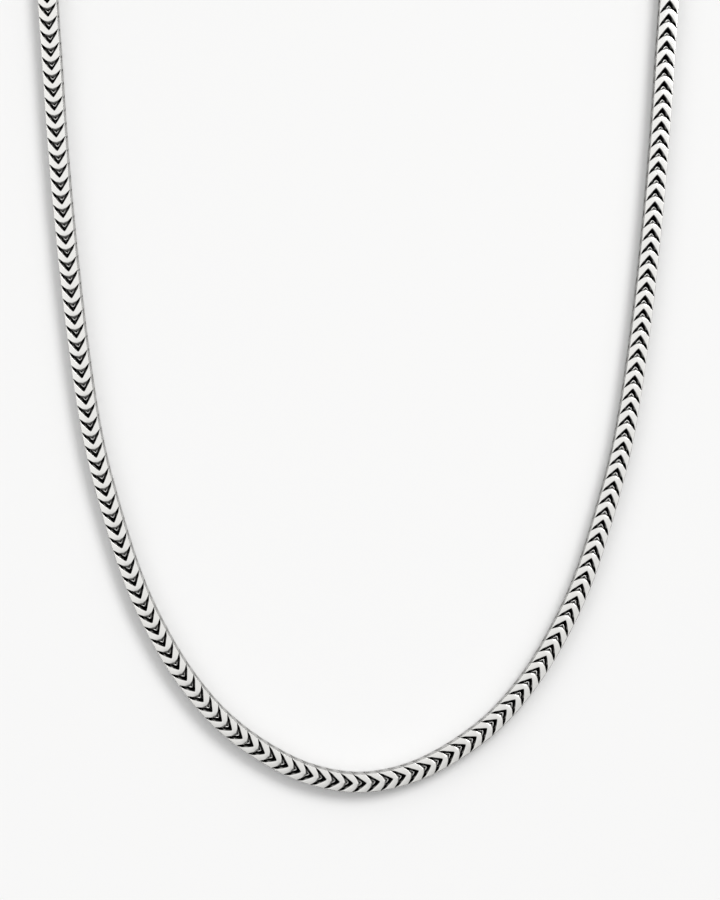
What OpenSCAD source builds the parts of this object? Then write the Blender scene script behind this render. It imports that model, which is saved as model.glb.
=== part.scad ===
// A square franco chain laid flat as a closed loop: the bottom of the U is at -Y, the clasp at +Y.
// Z is up out of the surface that the chain lies on, and the origin is the middle of the loop on it.

/* [Chain] */
// Width and height of the square chain
chain_w = 4.2; // [3:0.1:5]
// Rounding of the chain's four long edges
chain_round = 0.5; // [0.2:0.1:0.9]

/* [End caps] */
// Wall of an end cap round the chain
cap_wall = 0.4; // [0.3:0.1:0.8]
// Rounding of an end cap's long edges
cap_round = 0.8; // [0.4:0.1:1.2]
// Depth of chain that an end cap takes in
cap_depth = 5; // [3:0.5:5.5]
// Thickness of an end cap's closed end
cap_floor = 1.2; // [0.8:0.1:1.8]
// Clearance between the chain and an end cap
fit_gap = 0.1; // [0.05:0.05:0.2]

/* [Eyes and ring] */
// Thickness of the wire of an eye
eye_wire = 1; // [0.8:0.1:1.2]
// Width of the hole in an eye
eye_hole = 2; // [2:0.1:2.4]
// Thickness of the wire of the ring
ring_wire = 0.9; // [0.6:0.1:1.1]
// Width of the hole in the ring
ring_hole = 3.9; // [3.8:0.1:4.4]

/* [Clasp] */
// Width of the clasp
clasp_w = 6; // [5.4:0.2:7]
// Thickness of the clasp's body
clasp_h = 2.6; // [2:0.1:3.4]
// Thickness of the clasp's round bow
bow_wire = 1.4; // [1:0.1:1.5]
// Length of the opening inside the bow
bow_open = 3.7; // [3.3:0.1:4.2]
// Width of the clasp's tail beside its eye
tail_w = 2.4; // [1.4:0.1:3]

/* [Hidden] */

// Gap that a loose piece keeps over what carries it
seat_gap = 0.3;
// Depth to which soldered metal sinks into its neighbour
solder = 0.3;
// Fineness of the round wires
$fn = 64;

// Right half of the chain's route from the bottom of the U to the clasp, in millimetres.
// Columns: x, y, and the share of the end cap's extra height that lifts the chain off the surface.
HALF_ROUTE = [
    [0, -117, 0],
    [11, -115, 0],
    [21, -110, 0],
    [30, -103, 0],
    [37.5, -94, 0],
    [43.5, -84, 0],
    [48.5, -73, 0],
    [53, -59, 0],
    [57, -43.5, 0],
    [60, -25, 0],
    [62.5, -4, 0],
    [64.5, 17.5, 0],
    [66, 39, 0],
    [67, 58, 0],
    [65.5, 76.5, 0],
    [59, 93, 0],
    [48, 105, 0],
    [34.5, 112.5, 0.2],
    [22, 115.5, 0.7],
    [16.5, 116, 1],
    [11, 116, 1]
];
last = len(HALF_ROUTE) - 1;

// The whole route runs down the left strand, round the bottom and up the right strand
ROUTE = concat(
    [for (i = [last:-1:1]) [-HALF_ROUTE[i][0], HALF_ROUTE[i][1], HALF_ROUTE[i][2]]],
    HALF_ROUTE
);
ROUTE_LAST = len(ROUTE) - 1;

// Rings of the tube for each step from one point of the route to the next
RINGS_PER_STEP = 2;
// Corners of the tube's section: three points round each long edge
CORNER_ANGLES = [0, 45, 90];

// Place of the clasp line: where the chain's ends stop, how far out and how high it lies
end_x = HALF_ROUTE[last][0];
clasp_y = HALF_ROUTE[last][1];
cap_w = chain_w + 2 * (cap_wall + fit_gap);
clasp_z = cap_w / 2;

// An eye stands upright on the clasp line, sunk a little into the piece that carries it
eye_r = (eye_hole + eye_wire) / 2;
eye_out = eye_hole / 2 + eye_wire;
cap_face_x = end_x - fit_gap - cap_floor;
cap_eye_x = cap_face_x + solder - eye_out;

// The ring joins the left cap's eye to the clasp's tail eye, and rests low in both holes
ring_r = (ring_hole + ring_wire) / 2;
ring_x = ring_r - cap_eye_x;
ring_z = clasp_z - (eye_hole - ring_wire) / 2 + seat_gap;

// The clasp reaches from its tail eye to its bow, which passes through the right cap's eye
tail_x = ring_x + ring_r;
bow_r = (clasp_w - bow_wire) / 2;
bow_x = cap_eye_x - bow_r;
body_end_x = cap_eye_x - bow_wire / 2 - bow_open;
body_start_x = tail_x + eye_out - solder;
// The body's sides are rounded by a drum a little wider than the clasp
drum_w = clasp_w + bow_wire / 4;
shoulder_x = (body_start_x + body_end_x) / 2;

// A point of a smooth curve through b and c, a share t of the way, with a and d beside them
function through(a, b, c, d, t) =
    (2 * b + (c - a) * t + (2 * a - 5 * b + 4 * c - d) * t * t + (3 * b - a - 3 * c + d) * t * t * t) / 2;

// One point of the route, carried straight on past either end
function route_point(i) =
    i < 0 ? 2 * ROUTE[0] - ROUTE[1] :
    i > ROUTE_LAST ? 2 * ROUTE[ROUTE_LAST] - ROUTE[ROUTE_LAST - 1] :
    ROUTE[i];

// Middle of the chain at a place along the route, counted in points
function middle(u) =
    let (
        i = min(floor(u), ROUTE_LAST - 1),
        t = u - i,
        p = through(route_point(i - 1), route_point(i), route_point(i + 1), route_point(i + 2), t),
        lift = ROUTE[i][2] * (1 - t) + ROUTE[i + 1][2] * t
    )
    [p[0], p[1], chain_w / 2 + lift * (cap_w - chain_w) / 2];

// Direction across the chain, level with the surface, to the left of its run
function across(u) =
    let (
        near = 0.001,
        run = middle(min(u + near, ROUTE_LAST)) - middle(max(u - near, 0)),
        size = norm([run[0], run[1]])
    )
    [-run[1] / size, run[0] / size, 0];

// The chain's square section with rounded corners, as steps across and up
SECTION = [
    for (quarter = [0:3], a = CORNER_ANGLES)
        let (
            core = chain_w / 2 - chain_round,
            turn = 90 * quarter,
            sx = sign(cos(turn + 45)),
            sy = sign(sin(turn + 45))
        )
        [sx * core + chain_round * cos(turn + a), sy * core + chain_round * sin(turn + a)]
];
SIDES = len(SECTION);
RINGS = ROUTE_LAST * RINGS_PER_STEP + 1;

// The chain's outer form: one square tube along the whole route
module chain() {
    ring_points = [
        for (k = [0:RINGS - 1], s = SECTION)
            let (u = k / RINGS_PER_STEP)
            middle(u) + s[0] * across(u) + [0, 0, s[1]]
    ];
    side_faces = [
        for (k = [0:RINGS - 2], j = [0:SIDES - 1])
            let (next = (j + 1) % SIDES)
            [k * SIDES + j, k * SIDES + next, (k + 1) * SIDES + next, (k + 1) * SIDES + j]
    ];
    start_face = [for (j = [SIDES - 1:-1:0]) j];
    end_face = [for (j = [0:SIDES - 1]) (RINGS - 1) * SIDES + j];
    color("silver")
        polyhedron(points = ring_points, faces = concat([start_face], side_faces, [end_face]), convexity = 10);
}

// A square bar along X with rounded long edges, from x = 0 to its length
module square_bar(width, rounding, length) {
    core = width / 2 - rounding;
    rotate([90, 0, 90])
        linear_extrude(height = length) {
            square([width, 2 * core], center = true);
            square([2 * core, width], center = true);
            for (sx = [-1, 1], sy = [-1, 1])
                translate([sx * core, sy * core])
                    circle(r = rounding);
        }
}

// A round wire bent to a full ring about Z
module wire_ring(middle_r, wire) {
    rotate_extrude()
        translate([middle_r, 0])
            circle(d = wire);
}

// An upright eye on the clasp line
module eye() {
    rotate([90, 0, 0])
        wire_ring(eye_r, eye_wire);
}

// A cup that takes the chain's end, closed at the inner end, with an eye soldered on
module end_cap_right() {
    color("silver")
        translate([0, clasp_y, clasp_z]) {
            difference() {
                translate([cap_face_x, 0, 0])
                    square_bar(cap_w, cap_round, cap_floor + fit_gap + cap_depth);
                translate([end_x - fit_gap, 0, 0])
                    square_bar(chain_w + 2 * fit_gap, chain_round, 2 * cap_depth);
            }
            translate([cap_eye_x, 0, 0])
                eye();
        }
}

// The same cup on the other end of the chain
module end_cap_left() {
    mirror([1, 0, 0])
        end_cap_right();
}

// The ring that lies level between the left cap and the clasp
module ring() {
    color("silver")
        translate([ring_x, clasp_y, ring_z])
            wire_ring(ring_r, ring_wire);
}

// Outline of the clasp's body: narrow at the tail, full width at the shoulders, with a round mouth
module body_outline() {
    mouth_r = clasp_w / 2 - bow_wire;
    difference() {
        polygon([
            [body_start_x, -tail_w / 2],
            [shoulder_x, -clasp_w / 2],
            [bow_x, -clasp_w / 2],
            [bow_x, clasp_w / 2],
            [shoulder_x, clasp_w / 2],
            [body_start_x, tail_w / 2]
        ]);
        translate([body_end_x + mouth_r, 0])
            circle(r = mouth_r);
        translate([body_end_x + mouth_r, -mouth_r])
            square([clasp_w, 2 * mouth_r]);
    }
}

// The clasp in one plain piece: tail eye, flat body with rounded sides, and round bow
module clasp() {
    arm_x = body_end_x + bow_wire;
    color("silver")
        translate([0, clasp_y, clasp_z]) {
            translate([tail_x, 0, 0])
                eye();
            intersection() {
                translate([0, 0, -clasp_h / 2])
                    linear_extrude(height = clasp_h)
                        body_outline();
                translate([body_start_x, 0, 0])
                    rotate([0, 90, 0])
                        cylinder(d = drum_w, h = arm_x - body_start_x);
            }
            for (side = [-1, 1])
                translate([shoulder_x, side * bow_r, 0])
                    rotate([0, 90, 0])
                        cylinder(d = bow_wire, h = bow_x - shoulder_x);
            translate([bow_x, 0, 0])
                rotate([0, 0, -90])
                    rotate_extrude(angle = 180)
                        translate([bow_r, 0])
                            circle(d = bow_wire);
        }
}

chain();
end_cap_left();
end_cap_right();
ring();
clasp();
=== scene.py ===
import math
import random

import bpy
import numpy as np
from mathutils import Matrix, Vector


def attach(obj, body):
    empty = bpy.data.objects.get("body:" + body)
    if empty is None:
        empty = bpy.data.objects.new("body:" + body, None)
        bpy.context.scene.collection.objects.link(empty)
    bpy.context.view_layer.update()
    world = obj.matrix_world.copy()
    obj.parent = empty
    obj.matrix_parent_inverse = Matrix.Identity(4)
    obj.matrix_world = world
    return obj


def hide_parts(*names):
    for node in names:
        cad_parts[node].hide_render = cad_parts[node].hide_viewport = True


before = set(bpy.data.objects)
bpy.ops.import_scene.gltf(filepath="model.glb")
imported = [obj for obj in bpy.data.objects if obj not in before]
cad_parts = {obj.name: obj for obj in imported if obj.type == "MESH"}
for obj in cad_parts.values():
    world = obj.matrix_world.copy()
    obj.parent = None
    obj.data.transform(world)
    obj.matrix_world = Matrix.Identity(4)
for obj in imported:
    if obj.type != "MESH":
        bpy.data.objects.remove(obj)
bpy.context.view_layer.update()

# The chain's sizes, in millimetres
MM = 0.001
CHAIN_W = 4.2
CAP_W = 5.2
# From one V to the next on the same face, and from the chain's middle to its faces
PITCH = 2.888
HALF = 2.08
# Where the first link's V points to along the route, and what stays free past the last one
FIRST = 4.25
END_GAP = 0.2
# A link's length, and the most that it is turned out of line, in degrees, by this random seed
LINK_LENGTH = 4.0
TILT = 0.3
SEED = 7
# The links are joined in so many meshes
PIECES = 8

# Right half of the chain's route: x, y, and the share of the end cap's extra height under it
HALF_ROUTE = [
    (0, -117, 0), (11, -115, 0), (21, -110, 0), (30, -103, 0), (37.5, -94, 0),
    (43.5, -84, 0), (48.5, -73, 0), (53, -59, 0), (57, -43.5, 0), (60, -25, 0),
    (62.5, -4, 0), (64.5, 17.5, 0), (66, 39, 0), (67, 58, 0), (65.5, 76.5, 0),
    (59, 93, 0), (48, 105, 0), (34.5, 112.5, 0.2), (22, 115.5, 0.7), (16.5, 116, 1),
    (11, 116, 1),
]
ROUTE_STEPS = 60


# The route
def through(points, steps):
    """A smooth curve through the points, carried straight on past both ends."""
    p = np.array(points, float)
    p = np.vstack([2 * p[0] - p[1], p, 2 * p[-1] - p[-2]])
    t = (np.arange(steps) / steps)[:, None]
    made = []
    for i in range(1, len(p) - 2):
        a, b, c, d = p[i - 1:i + 3]
        made.append((2 * b + (c - a) * t + (2 * a - 5 * b + 4 * c - d) * t * t
                     + (3 * b - a - 3 * c + d) * t ** 3) / 2)
    made.append(p[-2:-1])
    return np.vstack(made)


def chain_route():
    """Length along the chain's middle, the middle itself, and the directions right and up there."""
    half = np.array(HALF_ROUTE, float)
    whole = np.vstack([half[:0:-1] * [-1, 1, 1], half])
    middle = through(whole[:, :2], ROUTE_STEPS)
    lift = np.interp(np.arange(len(middle)) / ROUTE_STEPS, np.arange(len(whole)), whole[:, 2])
    middle = np.column_stack([middle, CHAIN_W / 2 + lift * (CAP_W - CHAIN_W) / 2])
    along = np.concatenate([[0], np.cumsum(np.linalg.norm(np.diff(middle, axis=0), axis=1))])
    run = np.gradient(middle, axis=0)
    run /= np.linalg.norm(run, axis=1)[:, None]
    right = np.cross(run, [0, 0, 1])
    right /= np.linalg.norm(right, axis=1)[:, None]
    return along, middle, right, np.cross(right, run)


# The V bar of a link, in the link's own frame: u across, w up and h along the run. The V's tip
# is at u = 0 and its front is close to h = 0. Its toes are at the chain's corners.
# Its face falls by the crown times u squared, and has this rounding at the chain's corner.
CROWN = 0.02
CORNER_R = 0.2
# What stays free at the slant cut, beyond which the next face's bar is, and the bar's least depth
MITRE_GAP = 0.035
LEAST_DEPTH = 0.02
# The bar's edges are rounded less where it is less deep than this
ROUNDED_DEPTH = 0.4
# The V's front edge, and its back edge with the notch
FRONT = 0.1
TIP_R = 0.45
NOTCH = -1.34
NOTCH_R = 0.15
BACK_SLOPE = 1.42

# What changes from the tip to the toes: where the change starts and ends, and the value at both
TOE_REACH = (1.5, 2.0, 0.0, 0.34)
BAR_DEPTH = (0.5, 1.35, 0.80, 0.53)
UNDERSIDE = (0.2, 1.2, 0.42, 0.22)
TOE_SHARE = (1.6, 1.85, 0.0, 1.0)
WALL_DROP = (0.4, 1.5, 0.55, 0.15)
SHOULDER = (0.2, 1.1, 0.50, 0.14)
FALL = (0.2, 1.1, 0.45, 0.10)
BULGE_SHARE = (1.0, 1.55, 1.0, 0.0)
# The right arm's back edge is bevelled wider between these two changes
BEVEL_STARTS = (0.2, 0.8, 0.0, 1.0)
BEVEL_ENDS = (1.6, 1.9, 1.0, 0.0)

# The back edge's bevel, down and along: everywhere, and what the right arm has more
BEVEL = (0.08, 0.14)
ARM_BEVEL = (0.08, 0.24)
# Points on the bevel and on the shoulder, as shares of their reach down and along
BEVEL_SHAPE = [(1.2, 0.0), (0.45, 0.4), (0.0, 1.0)]
SHOULDER_SHAPE = [(0.0, 1.0), (0.30, 0.45), (0.66, 0.12), (1.0, 0.0)]
# Least steps down from the bevel and from the shoulder to the wall under them
BACK_STEP = 0.03
FRONT_STEP = 0.08
# Shares that draw the wall in towards the underside, and the underside out at the toes
WALL_DRAFT = 0.18
TOE_UNDERSIDE = 0.9
# The belly is between wall and underside: shares of the height and of the width
BELLY_UP = 0.42
BELLY_OUT = 0.72
# How far the wire is behind its face's back edge at its wall, belly and underside
BULGE = (0.12, 0.65, 0.55)

SLICES = [0.0, 0.08, 0.18, 0.32, 0.5, 0.75, 1.0, 1.25, 1.5, 1.66, 1.76, 1.83, 1.88, 1.92, 1.94]


def eased(a, change):
    """The value at a, which goes softly from the first value to the last."""
    start, end, first, last = change
    t = min(max((a - start) / (end - start), 0.0), 1.0)
    return first + (last - first) * t * t * (3 - 2 * t)


def front_edge(a):
    """The V's edge that faces along the run, round at the tip."""
    return FRONT + TIP_R - math.hypot(a, TIP_R)


def back_edge(a):
    """The V's edge that faces back, which reaches further back at the chain's corner."""
    return NOTCH - BACK_SLOPE * (math.hypot(a, NOTCH_R) - NOTCH_R) - eased(a, TOE_REACH)


def bar_section(u):
    """Points (w, h) round the V bar's slice at u. At the chain's corner it is cut on the slant."""
    a = abs(u)
    front = front_edge(a)
    back = back_edge(a)
    mid = (front + back) / 2
    half = (front - back) / 2

    # The face, the bottom and the depth between them
    past = max(a - HALF + CORNER_R, 0.0)
    top = HALF - CORNER_R + math.sqrt(max(CORNER_R ** 2 - past ** 2, 0.0)) - CROWN * a * a
    low = HALF - eased(a, BAR_DEPTH)
    low = min(max(low, a + MITRE_GAP), top - LEAST_DEPTH)
    depth = top - low
    thin = min(depth / ROUNDED_DEPTH, 1.0)

    # How far the front's shoulder and the back's bevel reach down and along
    shoulder = eased(a, SHOULDER)
    fall = eased(a, FALL) * thin
    more = eased(u, BEVEL_STARTS) * eased(u, BEVEL_ENDS)
    bevel, wide = (everywhere * thin + arm * more for everywhere, arm in zip(BEVEL, ARM_BEVEL))

    # Half the wire's width at its underside, its wall and its belly
    under = eased(a, UNDERSIDE)
    under += (half * TOE_UNDERSIDE - under) * eased(a, TOE_SHARE)
    side = half + (under - half) * WALL_DRAFT
    belly = under + (side - under) * BELLY_OUT
    wall = low + depth * (1 - eased(a, WALL_DROP))
    wall_back = min(wall, top - bevel * BEVEL_SHAPE[0][0] - BACK_STEP * thin)
    wall_front = min(wall, top - fall - FRONT_STEP * thin)

    # Below its face the wire bulges backward under the notch, except at the toes
    full = eased(a, BULGE_SHARE)
    wall_h, belly_h, low_h = ((mid - width) * (1 - full) + (back - behind) * full
                              for width, behind in zip((side, belly, under), BULGE))
    return [
        (low, low_h),
        (low + (wall_back - low) * BELLY_UP, belly_h),
        (wall_back, wall_h),
        *[(top - bevel * down, back + wide * on) for down, on in BEVEL_SHAPE],
        *[(top - fall * down, front - shoulder * on) for down, on in SHOULDER_SHAPE],
        (wall_front, mid + side),
        (low + (wall_front - low) * BELLY_UP, mid + belly),
        (low, mid + under),
    ]


def bar_rings():
    across = [-u for u in SLICES[:0:-1]] + SLICES
    return np.array([[(u, w, h) for w, h in bar_section(u)] for u in across])


# The inner strands of a link
STRAND_R = 0.22
STRAND_SIDES = 7
STRAND_STEPS = 2

# Halves of a strand's middle line, from its head at w = 0 to the V bar that it joins: it runs
# plain, or crosses over the strand of the next link, or under that of the link before
HEAD = (0.80, 0.00, -0.92)
HALVES = {
    "plain": [(0.88, 0.40, -1.34), (1.00, 0.78, -1.92), (1.20, 1.18, -2.35), (1.42, 1.56, -2.70)],
    "over": [(0.96, 0.50, -1.00), (1.00, 0.97, -1.02), (1.03, 1.38, -1.18), (1.05, 1.72, -1.50)],
    "under": [(0.82, 0.34, -2.00), (0.86, 0.70, -3.00), (0.98, 1.08, -3.24), (1.08, 1.42, -3.00),
              (1.15, 1.70, -2.65)],
}
# For each kind of link, the upper and lower half of its right strand, then of its left strand.
# Upright links have their V bars on the chain's upper and lower face, level ones on its sides.
STRANDS = {
    "upright": (("plain", "over"), ("plain", "under")),
    "level": (("plain", "plain"), ("over", "under")),
}


def strand_rings(upper, lower, side):
    low = [(u, -w, h) for u, w, h in HALVES[lower]]
    line = through(HALVES[upper][::-1] + [HEAD] + low, STRAND_STEPS) * [side, 1, 1]
    ahead = np.gradient(line, axis=0)
    ahead /= np.linalg.norm(ahead, axis=1)[:, None]
    turn = np.arange(STRAND_SIDES)[:, None] * 2 * math.pi / STRAND_SIDES
    normal = np.array([1.0, 0.0, 0.0])
    rings = []
    for p, t in zip(line, ahead):
        normal = normal - t * (normal @ t)
        normal /= np.linalg.norm(normal)
        rings.append(p + STRAND_R * (np.cos(turn) * normal + np.sin(turn) * np.cross(t, normal)))
    return np.array(rings)


# Painted shade in the recesses, as a share for each point. It starts and is full so far below
# the chain's faces.
DARK_FROM = 0.12
DARK_FULL = 0.42
# A strand is painted with shade, which is lifted on the side of its head that faces out, by this share,
# from so many radii off its middle line, and up to so far from the head along w
UNSHADED_SHARE = 0.85
UNSHADED_FROM = 0.1
UNSHADED_FULL = 0.8
HEAD_FULL = 0.4
HEAD_END = 0.75


def rising(x, start, end):
    """0 up to the start, and from there up to 1 at the end."""
    return np.clip((x - start) / (end - start), 0, 1)


# Painted shade on a V bar: darker the deeper a point is below the chain's faces
def bar_shade(rings):
    below = HALF - np.maximum(abs(rings[..., 0]), abs(rings[..., 1]))
    return rising(below, DARK_FROM, DARK_FULL)


# Painted shade on a strand: full, except on the outer side of its head
def strand_shade(rings):
    across = rings[..., 0]
    middle = across.mean(axis=1, keepdims=True)
    outer = rising((across - middle) * np.sign(middle) / STRAND_R, UNSHADED_FROM, UNSHADED_FULL)
    near_head = 1 - rising(abs(rings[..., 1]), HEAD_FULL, HEAD_END)
    return 1 - UNSHADED_SHARE * outer * near_head


# One link
def closed(rings):
    """Vertices and faces of a closed tube of rings."""
    m, n, _ = rings.shape
    faces = []
    for i in range(m - 1):
        for j in range(n):
            k = (j + 1) % n
            faces.append((i * n + j, i * n + k, (i + 1) * n + k, (i + 1) * n + j))
    faces.append(tuple(range(n - 1, -1, -1)))
    faces.append(tuple(range((m - 1) * n, m * n)))
    return rings.reshape(-1, 3), faces


def outward(points, faces):
    """The faces, all turned to face outward."""
    volume = 0.0
    for f in faces:
        for i in range(1, len(f) - 1):
            volume += np.dot(points[f[0]], np.cross(points[f[i]], points[f[i + 1]]))
    return faces if volume > 0 else [f[::-1] for f in faces]


def link(kind):
    """Vertices, faces and painted shade of one link, its V bars up and down."""
    (right_upper, right_lower), (left_upper, left_lower) = STRANDS[kind]
    bar = bar_rings()
    parts = [
        (bar, bar_shade),
        (bar * [-1, -1, 1], bar_shade),
        (strand_rings(right_upper, right_lower, 1), strand_shade),
        (strand_rings(left_upper, left_lower, -1), strand_shade),
    ]
    points = []
    faces = []
    depths = []
    for rings, shade in parts:
        p, f = closed(rings)
        base = sum(len(x) for x in points)
        faces += [tuple(i + base for i in face) for face in outward(p, f)]
        depths.append(shade(rings).ravel())
        points.append(p)
    return np.vstack(points), faces, np.concatenate(depths)


def vertex_normals(points, faces):
    """Normals weighted by area, so that the flat faces stay flat beside their bevels."""
    normals = np.zeros_like(points)
    for f in faces:
        p = points[list(f)]
        n = np.zeros(3)
        for i in range(1, len(f) - 1):
            n += np.cross(p[i] - p[0], p[i + 1] - p[0])
        for i in f:
            normals[i] += n
    return normals / np.linalg.norm(normals, axis=1)[:, None]


def link_kinds():
    """Points, normals and painted shade of a level and an upright link, and the faces of both."""
    quarter = np.array([[0, -1, 0], [1, 0, 0], [0, 0, 1]], float)
    kinds = []
    for kind, turn in (("level", quarter), ("upright", np.eye(3))):
        points, faces, depths = link(kind)
        normals = vertex_normals(points, faces)
        kinds.append((points @ turn.T, normals @ turn.T, depths))
    # u, w and h are a left-handed set, so the faces turn over on their way to the chain
    return kinds, [f[::-1] for f in faces]


# The chain
def tilted(points, rng):
    """The link turned by a very small amount about its middle."""
    a, b, c = (math.radians(rng.uniform(-TILT, TILT)) for _ in range(3))
    turn = np.array([[1, -c, b], [c, 1, -a], [-b, a, 1]])
    centre = np.array([0, 0, -LINK_LENGTH / 2])
    return (points - centre) @ turn.T + centre


def laid(points, normals, place, route):
    """Points and normals of a link that lies along the route, with h = 0 at the place."""
    along, middle, right, up = route
    s = place + points[:, 2]
    at, r, w = (np.column_stack([np.interp(s, along, v[:, i]) for i in range(3)])
                for v in (middle, right, up))
    h = np.cross(w, r)
    return (at + r * points[:, :1] + w * points[:, 1:2],
            r * normals[:, :1] + w * normals[:, 1:2] + h * normals[:, 2:])


def add_piece(name, links_in_it, faces, material):
    """One joined mesh of links, each given by its points, normals and painted shade."""
    points, normals, depths = zip(*links_in_it)
    all_faces = [tuple(i + len(points[0]) * j for i in f) for j in range(len(points)) for f in faces]
    mesh = bpy.data.meshes.new(name)
    mesh.from_pydata((np.vstack(points) * MM).tolist(), [], all_faces)
    mesh.polygons.foreach_set("use_smooth", np.ones(len(all_faces), bool))
    # The painted shade of each point is kept in the depth attribute
    shade = mesh.attributes.new("depth", "FLOAT", "POINT")
    shade.data.foreach_set("value", np.concatenate(depths).astype(np.float32))
    mesh.normals_split_custom_set_from_vertices(np.vstack(normals).tolist())
    mesh.materials.append(material)
    piece_object = bpy.data.objects.new(mesh.name, mesh)
    bpy.context.scene.collection.objects.link(piece_object)
    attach(piece_object, "root")
    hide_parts("chain")


def make_chain(material):
    route = chain_route()
    kinds, faces = link_kinds()
    rng = random.Random(SEED)
    length = route[0][-1]
    count = int((length - END_GAP - FIRST) / (PITCH / 2)) + 1
    per_piece = math.ceil(count / PIECES)
    for piece in range(PIECES):
        links_in_it = []
        for k in range(piece * per_piece, min((piece + 1) * per_piece, count)):
            points, normals, depths = kinds[k % 2]
            place = FIRST + k * PITCH / 2
            links_in_it.append((*laid(tilted(points, rng), normals, place, route), depths))
        add_piece(f"links_{piece + 1}", links_in_it, faces, material)


# Materials
def new_material(name):
    material = bpy.data.materials.new(name)
    material.use_nodes = True
    return material, material.node_tree.nodes, material.node_tree.links


def add_node(nodes, kind, values, **settings):
    """A new node with its settings made first and then the values of its inputs."""
    node = nodes.new(kind)
    for key, value in settings.items():
        setattr(node, key, value)
    for key, value in values.items():
        node.inputs[key].default_value = value
    return node


# Silver's colour: straight on, at grazing angles, where it was handled, and the black of the painted
# shade in the recesses
CLEAN = (0.735, 0.735, 0.72, 1)
EDGE = (0.6, 0.6, 0.6, 1)
BLOOM = (0.695, 0.684, 0.66, 1)
PAINTED_SHADE = (0.004, 0.004, 0.0045, 1)
BLACK = (0, 0, 0, 1)
# Its roughness: in general, at its best, where it was handled and where shade is painted
POLISH = 0.13
POLISH_BEST = 0.10
POLISH_DULL = 0.17
PAINTED_SHADE_ROUGHNESS = 0.6
# How often dents and handled patches repeat in a metre, and how deep a dent is, in metres
DENT_SCALE = 900.0
DENT_DEPTH = 0.0002
DENT_STRENGTH = 0.05
PATCH_SCALE = 260.0
# Directions of the fine scratches, in degrees, and their length, width and depth in metres
SCRATCH_ANGLES = (12, 68, 131)
SCRATCH_LONG = 0.002
SCRATCH_WIDE = 0.00011
SCRATCH_DEPTH = 0.00002
SCRATCH_STRENGTH = 0.10
# Only the noise between these two levels is cut into the metal
SCRATCH_FROM = 0.60
SCRATCH_FULL = 0.72


def worn_normal(nodes, links, coord):
    """Soft dents and, over them, fine scratches that run in several directions."""
    dents = add_node(nodes, "ShaderNodeTexNoise", {"Scale": DENT_SCALE, "Detail": 4.0})
    links.new(coord, dents.inputs["Vector"])
    dent_bump = add_node(nodes, "ShaderNodeBump", {"Strength": DENT_STRENGTH, "Distance": DENT_DEPTH})
    links.new(dents.outputs["Fac"], dent_bump.inputs["Height"])
    normal = dent_bump.outputs["Normal"]
    for angle in SCRATCH_ANGLES:
        turn = add_node(nodes, "ShaderNodeMapping",
                        {"Rotation": (0.0, 0.0, math.radians(angle)),
                         "Scale": (SCRATCH_LONG, SCRATCH_WIDE, SCRATCH_WIDE)}, vector_type="TEXTURE")
        links.new(coord, turn.inputs["Vector"])
        streaks = add_node(nodes, "ShaderNodeTexNoise", {"Scale": 1.0, "Detail": 2.0})
        links.new(turn.outputs["Vector"], streaks.inputs["Vector"])
        thin = add_node(nodes, "ShaderNodeMapRange", {"From Min": SCRATCH_FROM, "From Max": SCRATCH_FULL})
        links.new(streaks.outputs["Fac"], thin.inputs["Value"])
        cut = add_node(nodes, "ShaderNodeBump",
                       {"Strength": SCRATCH_STRENGTH, "Distance": SCRATCH_DEPTH}, invert=True)
        links.new(thin.outputs["Result"], cut.inputs["Height"])
        links.new(normal, cut.inputs["Normal"])
        normal = cut.outputs["Normal"]
    return normal


def handled(nodes, links, coord):
    """Roughness and colour: handling has dulled the polish in patches and left a warm bloom."""
    patches = add_node(nodes, "ShaderNodeTexNoise", {"Scale": PATCH_SCALE, "Detail": 3.0})
    links.new(coord, patches.inputs["Vector"])
    dulled = add_node(nodes, "ShaderNodeMapRange",
                      {"From Min": 0.3, "From Max": 0.7, "To Min": POLISH_BEST, "To Max": POLISH_DULL})
    links.new(patches.outputs["Fac"], dulled.inputs["Value"])
    bloom = add_node(nodes, "ShaderNodeMix", {"A": CLEAN, "B": BLOOM}, data_type="RGBA")
    links.new(patches.outputs["Fac"], bloom.inputs["Factor"])
    return dulled.outputs["Result"], bloom.outputs["Result"]


def with_painted_shade(nodes, links, roughness, colour):
    """Roughness, colour and edge tint of silver, darkened by the painted shade that the depth attribute
    holds.
    """
    depth = nodes.new("ShaderNodeAttribute")
    depth.attribute_name = "depth"
    mix = add_node(nodes, "ShaderNodeMix", {"B": PAINTED_SHADE}, data_type="RGBA")
    links.new(depth.outputs["Fac"], mix.inputs["Factor"])
    links.new(colour, mix.inputs["A"])
    # The painted shade also takes the edge tint to black, so that the shaded recesses mirror nothing at
    # grazing angles
    tint = add_node(nodes, "ShaderNodeMix", {"A": EDGE, "B": BLACK}, data_type="RGBA")
    links.new(depth.outputs["Fac"], tint.inputs["Factor"])
    rough = add_node(nodes, "ShaderNodeMapRange", {"To Max": PAINTED_SHADE_ROUGHNESS})
    links.new(roughness, rough.inputs["To Min"])
    links.new(depth.outputs["Fac"], rough.inputs["Value"])
    return rough.outputs["Result"], mix.outputs["Result"], tint.outputs["Result"]


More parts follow.
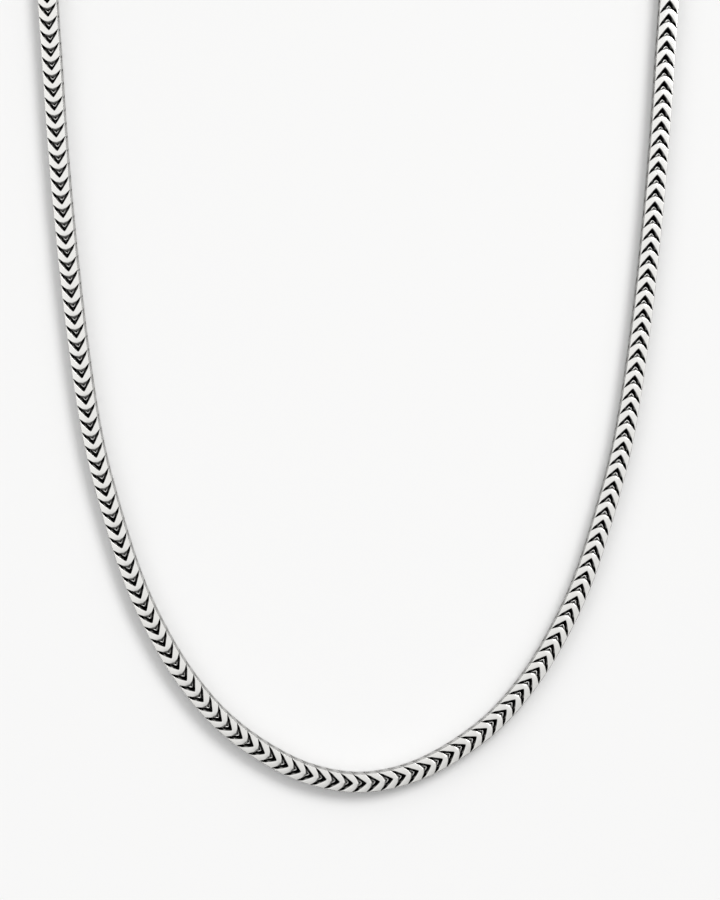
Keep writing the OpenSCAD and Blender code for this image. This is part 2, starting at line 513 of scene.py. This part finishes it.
def silver(name, shade_recesses):
    """Polished silver with fine wear, and painted shade in its recesses if the second argument is true.
    """
    material, nodes, links = new_material(name)
    shader = nodes["Principled BSDF"]
    shader.inputs["Metallic"].default_value = 1.0
    shader.inputs["Base Color"].default_value = CLEAN
    shader.inputs["Specular Tint"].default_value = EDGE
    shader.inputs["Roughness"].default_value = POLISH
    coord = nodes.new("ShaderNodeTexCoord").outputs["Object"]
    links.new(worn_normal(nodes, links, coord), shader.inputs["Normal"])
    roughness, colour = handled(nodes, links, coord)
    if shade_recesses:
        roughness, colour, tint = with_painted_shade(nodes, links, roughness, colour)
        links.new(tint, shader.inputs["Specular Tint"])
    links.new(roughness, shader.inputs["Roughness"])
    links.new(colour, shader.inputs["Base Color"])
    return material


def dress_fittings(material):
    for name in ("end_cap_left", "end_cap_right", "ring", "clasp"):
        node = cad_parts[name]
        node.data.materials.clear()
        node.data.materials.append(material)


# The floor, a little lighter on the sides away from the lamp, which evens out the lamp's light
FLOOR_REACH = 3.0
FLOOR_WHITE = (0.845, 0.844, 0.841)
FLOOR_ROUGHNESS = 0.9
# Its places times this vector, between minus and plus the fade, take it from least to most
FLOOR_LEAN = (-0.34, -0.36, 0.0)
FLOOR_FADE = 0.1
FLOOR_LEAST = 0.9
FLOOR_MOST = 1.1


def floor_material():
    material, nodes, links = new_material("floor_white")
    shader = nodes["Principled BSDF"]
    shader.inputs["Roughness"].default_value = FLOOR_ROUGHNESS
    shader.inputs["Specular IOR Level"].default_value = 0.0
    coord = nodes.new("ShaderNodeTexCoord")
    across = add_node(nodes, "ShaderNodeVectorMath", {1: FLOOR_LEAN}, operation="DOT_PRODUCT")
    links.new(coord.outputs["Object"], across.inputs[0])
    lighter = add_node(nodes, "ShaderNodeMapRange", {"From Min": -FLOOR_FADE, "From Max": FLOOR_FADE,
                                                     "To Min": FLOOR_LEAST, "To Max": FLOOR_MOST})
    links.new(across.outputs["Value"], lighter.inputs["Value"])
    paper = add_node(nodes, "ShaderNodeVectorMath", {0: FLOOR_WHITE}, operation="SCALE")
    links.new(lighter.outputs["Result"], paper.inputs["Scale"])
    links.new(paper.outputs["Vector"], shader.inputs["Base Color"])
    return material


def make_floor():
    reach = FLOOR_REACH
    corners = [(-reach, -reach, 0), (reach, -reach, 0), (reach, reach, 0), (-reach, reach, 0)]
    floor_mesh = bpy.data.meshes.new("floor")
    floor_mesh.from_pydata(corners, [], [(0, 1, 2, 3)])
    floor_mesh.materials.append(floor_material())
    floor = bpy.data.objects.new("floor", floor_mesh)
    bpy.context.scene.collection.objects.link(floor)


# Light: a bright ceiling that fades towards the horizon, brightest on the side of the clasp.
# The sky's levels go by the direction's height, from the horizon at 0 to straight up at 1.
SKY = [(0.0, 0.12), (0.35, 0.17), (0.50, 0.27), (0.65, 0.48), (0.78, 0.59), (0.90, 0.59),
       (0.965, 0.54), (1.0, 0.51)]
SKY_STRENGTH = 2.1
# The way to its brighter side, where the change starts and ends along it, and the shares there
SKY_LEAN = (-0.15, 1.0, 0.0)
SKY_FADE = (-0.70, 0.10)
SKY_SHARES = (0.2, 1.08)


def make_sky():
    world = bpy.data.worlds.new("room")
    bpy.context.scene.world = world
    world.use_nodes = True
    nodes = world.node_tree.nodes
    links = world.node_tree.links
    background = nodes["Background"]
    coord = nodes.new("ShaderNodeTexCoord")
    split = nodes.new("ShaderNodeSeparateXYZ")
    links.new(coord.outputs["Generated"], split.inputs["Vector"])
    ramp = nodes.new("ShaderNodeValToRGB")
    stops = ramp.color_ramp.elements
    # New stops begin in the middle, and all are then moved to their places
    while len(stops) < len(SKY):
        stops.new(0.5)
    for stop, (place, level) in zip(stops, SKY):
        stop.position = place
        stop.color = (level, level, level, 1)
    links.new(split.outputs["Z"], ramp.inputs["Fac"])
    side = add_node(nodes, "ShaderNodeVectorMath", {1: SKY_LEAN}, operation="DOT_PRODUCT")
    links.new(coord.outputs["Generated"], side.inputs[0])
    lean = add_node(nodes, "ShaderNodeMapRange",
                    {"From Min": SKY_FADE[0], "From Max": SKY_FADE[1],
                     "To Min": SKY_SHARES[0] * SKY_STRENGTH, "To Max": SKY_SHARES[1] * SKY_STRENGTH},
                    interpolation_type="SMOOTHSTEP")
    links.new(side.outputs["Value"], lean.inputs["Value"])
    links.new(ramp.outputs["Color"], background.inputs["Color"])
    links.new(lean.outputs["Result"], background.inputs["Strength"])


# One soft lamp in two parts: the metal mirrors the first, and the second only lights the scene
LAMP_ENERGY = 4.3
LAMP_SIZE = 0.42
LAMP_PLACE = Vector((0.39, 0.38, 0.79))
LAMP_AIM = Vector((0, -0.04, 0))
MIRRORED_SHARE = 0.4


def make_lamp(name, share, mirrored):
    lamp_data = bpy.data.lights.new(name, "AREA")
    lamp_data.shape = "DISK"
    lamp_data.size = LAMP_SIZE
    lamp_data.energy = LAMP_ENERGY * share
    lamp = bpy.data.objects.new(name, lamp_data)
    lamp.location = LAMP_PLACE
    lamp.rotation_euler = (LAMP_AIM - LAMP_PLACE).to_track_quat("-Z", "Y").to_euler()
    lamp.visible_glossy = mirrored
    bpy.context.scene.collection.objects.link(lamp)


# The camera looks straight down on the lower part of the loop
CAMERA_PLACE = (0.00035, -0.0454, 0.5031)
CAMERA_LENS = 93.0


def make_camera():
    camera_data = bpy.data.cameras.new("camera")
    camera_data.sensor_width = 36.0
    camera_data.lens = CAMERA_LENS
    camera_data.clip_start = 0.01
    camera_data.clip_end = 20.0
    camera = bpy.data.objects.new("camera", camera_data)
    camera.location = CAMERA_PLACE
    camera.rotation_euler = (0, 0, 0)
    bpy.context.scene.collection.objects.link(camera)
    bpy.context.scene.camera = camera


make_chain(silver("chain_silver", True))
dress_fittings(silver("fitting_silver", False))
make_floor()
make_sky()
make_lamp("lamp", MIRRORED_SHARE, True)
make_lamp("lamp_unmirrored", 1 - MIRRORED_SHARE, False)
make_camera()

bpy.context.scene.view_settings.view_transform = "Standard"
bpy.context.scene.view_settings.look = "None"

bpy.context.view_layer.update()
